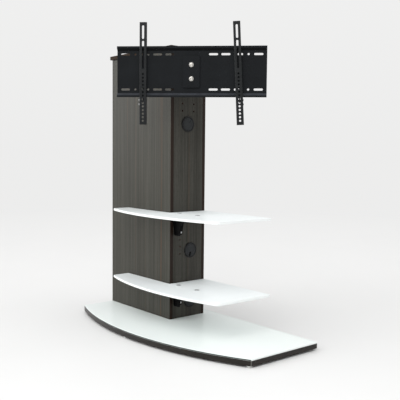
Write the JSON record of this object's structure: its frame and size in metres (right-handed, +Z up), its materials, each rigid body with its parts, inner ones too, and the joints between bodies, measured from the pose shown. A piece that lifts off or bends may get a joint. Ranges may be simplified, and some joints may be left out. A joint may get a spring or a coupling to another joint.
{
  "type": "tv stand with mount",
  "caption": "Television stand: bowed base and shelves in white glass, an off-centre dark wood column, and a swivelling steel mount with hooked rails for a flat screen.",
  "frame": {"origin": "on the floor, under the middle of the base's width and, within 4 mm, of its depth", "axes": "+X to the right seen from the front, +Y to the back, +Z up; the front is the bowed side"},
  "size_m": [1.128, 0.5153, 1.3264],
  "materials": {
    "dark_wood": "dark stained veneer, satin",
    "column_wood": "dark grey-brown veneer, satin",
    "side_wood": "dark grey-brown veneer, satin",
    "inner_board": "raw particle board",
    "dowel_wood": "raw beech",
    "white_glass": "white painted on the underside, polished edges",
    "clear_plastic": "frosted",
    "steel": "zinc plated",
    "bright_steel": "bright",
    "zinc": "die-cast",
    "black_steel": "satin black powder coat",
    "rail_steel": "satin black powder coat",
    "black_screw": "black oxide",
    "cap_plastic": "fine matt",
    "pad_rubber": "soft",
    "nylon": "natural nylon"
  },
  "bodies": {
    "stand": {"base_board": "dark_wood", "base_glass": "white_glass", "base_feet": "clear_plastic", "foot_screws": "steel", "anchor_bolts": "steel", "anchor_washers": "steel", "anchor_inserts": "steel", "column_front_panel": "column_wood", "column_back_panel": "column_wood", "column_left_panel": "column_wood", "column_right_panel": "side_wood", "column_bottom_board": "inner_board", "column_mid_board": "inner_board", "column_top_board": "inner_board", "column_top_cap": "dark_wood", "cap_screws": "steel", "column_dowels": "dowel_wood", "cam_locks": "zinc", "cam_bolts": "steel", "back_panel_screws": "steel", "cable_ring_top": "cap_plastic", "cable_ring_middle": "cap_plastic", "cable_ring_bottom": "cap_plastic", "lower_shelf_glass": "white_glass", "upper_shelf_glass": "white_glass", "lower_shelf_bracket": "black_steel", "upper_shelf_bracket": "black_steel", "shelf_pads": "pad_rubber", "shelf_discs": "bright_steel", "shelf_nuts": "steel", "bracket_screws": "bright_steel", "bracket_backing_plates": "steel", "hinge_plate": "black_steel", "hinge_screws": "black_screw", "hinge_backing_plate": "steel", "swivel_pin": "steel", "pin_washer": "steel", "pin_nut": "steel", "friction_washers": "nylon"},
    "arm": {"swivel_arm": "black_steel", "arm_bushes": "nylon", "mount_plate": "black_steel", "clamp_plate": "black_steel", "clamp_washers": "bright_steel", "clamp_bolts": "bright_steel"},
    "rail_left": {"left_rail": "rail_steel", "left_rail_lock": "black_steel", "left_lock_screws": "bright_steel"},
    "rail_right": {"right_rail": "rail_steel", "right_rail_lock": "black_steel", "right_lock_screws": "black_screw"},
    "cap_top": {"cable_cap_top": "cap_plastic"},
    "cap_middle": {"cable_cap_middle": "cap_plastic"},
    "cap_bottom": {"cable_cap_bottom": "cap_plastic"}
  },
  "joints": [
    {"name": "swivel", "type": "hinge", "parent": "stand", "child": "arm", "pos_m": [-0.034, 0.095, 1.112], "axis": [0, 0, 1], "range_deg": [-45, 45]},
    {"name": "left_rail_slide", "type": "slide", "parent": "arm", "child": "rail_left", "axis": [0.7071, 0.7071, 0], "range_m": [-0.095, 0.1]},
    {"name": "right_rail_slide", "type": "slide", "parent": "arm", "child": "rail_right", "axis": [0.7071, 0.7071, 0], "range_m": [-0.1, 0.095]},
    {"name": "cap_top_turn", "type": "hinge", "parent": "stand", "child": "cap_top", "pos_m": [-0.079, 0.093, 0.91], "axis": [1, 0, 0], "continuous": true},
    {"name": "cap_middle_turn", "type": "hinge", "parent": "stand", "child": "cap_middle", "pos_m": [-0.079, 0.1125, 0.339], "axis": [1, 0, 0], "continuous": true},
    {"name": "cap_bottom_turn", "type": "hinge", "parent": "stand", "child": "cap_bottom", "pos_m": [-0.079, 0.1125, 0.109], "axis": [1, 0, 0], "continuous": true}
  ]
}
